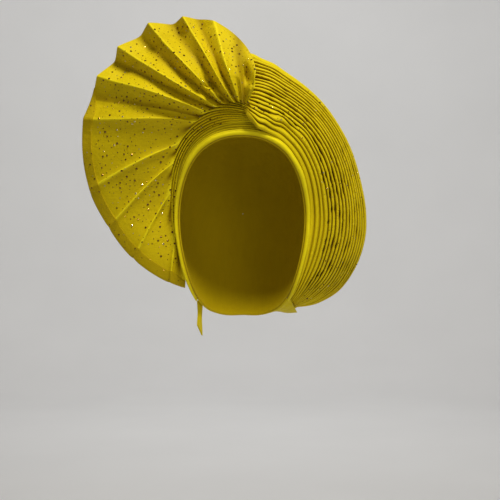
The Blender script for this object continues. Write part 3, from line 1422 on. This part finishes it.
# %% Make the stones
FAN_STONES = 780
HEM_STONES = 40
HEM_TOP_COLUMNS = slice(1, 6)
HEM_STONE_SIZE = 0.8
SWATH_STONES = 210
SWATH_STONE_SIZE = 0.75
STONE_GAP = 0.0042
LARGE_SHARE = 0.28
LARGE_SIZES = (1.0, 1.4)
SMALL_SIZES = (0.5, 0.85)
GOLD_SHARE = 0.16
FAN_FROM = 0.22
FAN_TO_HEM = 0.945
FAN_TO_RIM = 0.97
SWATH_FROM = 0.04
SWATH_TO = 0.97
FOLD_FROM = 0.2
FOLD_TO = 0.7


def make_stones():
    random = np.random.default_rng(5)
    out = np.linspace(0, 1, FAN_ROWS)[:, None]
    rim = np.where(fan_columns() > HEM_FIRST_FOLD, FAN_TO_HEM, FAN_TO_RIM)
    on_fan = ((out > FAN_FROM) & (out < rim)).astype(float)
    hem_top = hem_front[:, HEM_TOP_COLUMNS]
    pleat = np.arange(swath_front.shape[1]) / PLEAT_COLUMNS
    down = np.linspace(0, 1, SWATH_STATIONS)[:, None]
    on_fold = (pleat % 1 > FOLD_FROM) & (pleat % 1 < FOLD_TO)
    on_swath = (pleat > PLAIN_PLEATS) & on_fold & (down > SWATH_FROM) & (down < SWATH_TO)
    made = {}
    for cloth, grid, allowed, count, size in (
        ("fan", fan_front, on_fan, FAN_STONES, 1.0),
        ("hem", hem_top, np.ones(hem_top.shape[:2]), HEM_STONES, HEM_STONE_SIZE),
        ("swath", swath_front, on_swath.astype(float), SWATH_STONES, SWATH_STONE_SIZE),
    ):
        places, normals = scatter(grid, allowed, count, STONE_GAP, random)
        found = len(places)
        large = random.uniform(size=found) < LARGE_SHARE
        large_sizes = random.uniform(*LARGE_SIZES, found)
        sizes = np.where(large, large_sizes, random.uniform(*SMALL_SIZES, found))
        gold = random.uniform(size=found) < GOLD_SHARE
        made[cloth] = []
        for kind, chosen, material in (("amber", ~gold, amber_stone), ("gold", gold, gold_stone)):
            at, radii = (places[chosen], normals[chosen]), sizes[chosen] * (size * MILLIMETRE)
            piece = stones_piece(f"{cloth}_{kind}_stones", *at, radii, material, random)
            made[cloth].append(piece)
        print(cloth, "stones:", found, "of which gold:", int(gold.sum()))
    return made


stones = make_stones()

# %% [markdown]
# ## Floor and light
#
# The wrap is shown worn, so it hangs above a pale floor that curves up into a wall all
# round, as in a small studio. A soft light stands high in front, a little to the right, so
# each fold has a bright side and a brown one. A weak one fills from the left, and a third
# lights only the wall behind, which keeps the background pale and the folds dark.

# %% Build the studio
FLOOR_HEIGHT = -0.62
FLOOR_RADIUS = 2.2
WALL_RADIUS = 3.2
WALL_HEIGHT = 2.4
PAPER_GREYS = (0.80, 0.80, 0.80, 1), (0.74, 0.74, 0.74, 1)


def make_studio():
    pale, tree, shader = new_material("pale_paper")
    place = tree.nodes.new("ShaderNodeTexCoord").outputs["Object"]
    tint = mix_colours(tree, noise_node(tree, place, 3.0), *PAPER_GREYS)
    tree.links.new(tint, shader.inputs["Base Color"])
    shader.inputs["Roughness"].default_value = 0.9
    bend = WALL_RADIUS - FLOOR_RADIUS
    turn = np.linspace(0, np.pi / 2, 13)
    curved = FLOOR_RADIUS + bend * np.sin(turn)
    radius = np.concatenate([[0.01, FLOOR_RADIUS * 0.5], curved, [WALL_RADIUS]])
    height = np.concatenate([[0, 0], bend * (1 - np.cos(turn)), [WALL_HEIGHT]]) + FLOOR_HEIGHT
    around = np.linspace(0, 2 * np.pi, 97)[:-1]
    points = np.stack([np.outer(radius, np.cos(around)), np.outer(radius, np.sin(around))], axis=-1)
    points = np.concatenate([points, np.repeat(height[:, None, None], len(around), axis=1)], axis=2)
    index = np.arange(points.shape[0] * len(around)).reshape(points.shape[:2])
    after = np.roll(index, -1, axis=1)
    quads = np.stack([index[:-1], after[:-1], after[1:], index[1:]], axis=2).reshape(-1, 4)
    faces = quads.tolist() + [index[0].tolist()[::-1]]
    floor = add_object("studio_floor", points.reshape(-1, 3), faces, pale)
    floor.data.shade_smooth()


def add_light(name, place, target, size, power, colour):
    data = bpy.data.lights.new(name, "AREA")
    data.shape, data.size, data.energy, data.color = "DISK", size, power, colour
    light = bpy.data.objects.new(name, data)
    light.location = place
    aim = Vector(target) - Vector(place)
    light.rotation_euler = aim.to_track_quat("-Z", "Y").to_euler()
    bpy.context.scene.collection.objects.link(light)


CLOTH_AIM = (0.0, 0.0, -0.08)
WALL_AIM = (0.0, WALL_RADIUS, -0.1)
ROOM_COLOUR = (1.0, 0.90, 0.78, 1)
ROOM_GLOW = 0.20

make_studio()
add_light("key_light", (0.24, -0.72, 1.0), CLOTH_AIM, 0.34, 16.5, (1.0, 0.99, 0.95))
add_light("fill_light", (0.8, -1.4, 0.05), CLOTH_AIM, 0.8, 3.0, (1.0, 0.97, 0.92))
add_light("wall_light", (0.0, 1.2, 1.3), WALL_AIM, 1.2, 20.0, (0.97, 0.985, 1.0))
world = bpy.data.worlds.new("soft_room")
world.use_nodes = True
background = world.node_tree.nodes["Background"]
background.inputs["Color"].default_value = ROOM_COLOUR
background.inputs["Strength"].default_value = ROOM_GLOW
bpy.context.scene.world = world
bpy.context.scene.view_settings.view_transform = "Standard"

# %% [markdown]
# ## What each sheet was cut to
#
# A pleated or gathered piece shows less cloth than was cut for it, because part of it
# lies hidden in its folds.

SEWN_ON_FAN = [hem, tuck] + stones["fan"] + stones["hem"]
CUTS = (
    (cap, (0.32, 0.36), "stretched", (), ()),
    (face_band, (0.018, 0.37), "folded", [cap], ()),
    (front_pleats, (0.024, 0.21), "folded", [cap], ()),
    (fan, (0.21, 0.33), "gathered", [front_pleats, cap], SEWN_ON_FAN),
    (side_pleats, (0.21, 0.37), "folded", [cap, rim_fold], stones["swath"]),
    (rim_fold, (0.055, 0.37), "folded", [cap], ()),
    (strap, (0.025, 0.14), "folded", [cap], ()),
    (tail, (0.013, 0.036), "hung", [strap], ()),
)

for piece, flat, held, rests_on, with_pieces in CUTS:
    print(piece.name, "was cut to", flat, "metres")
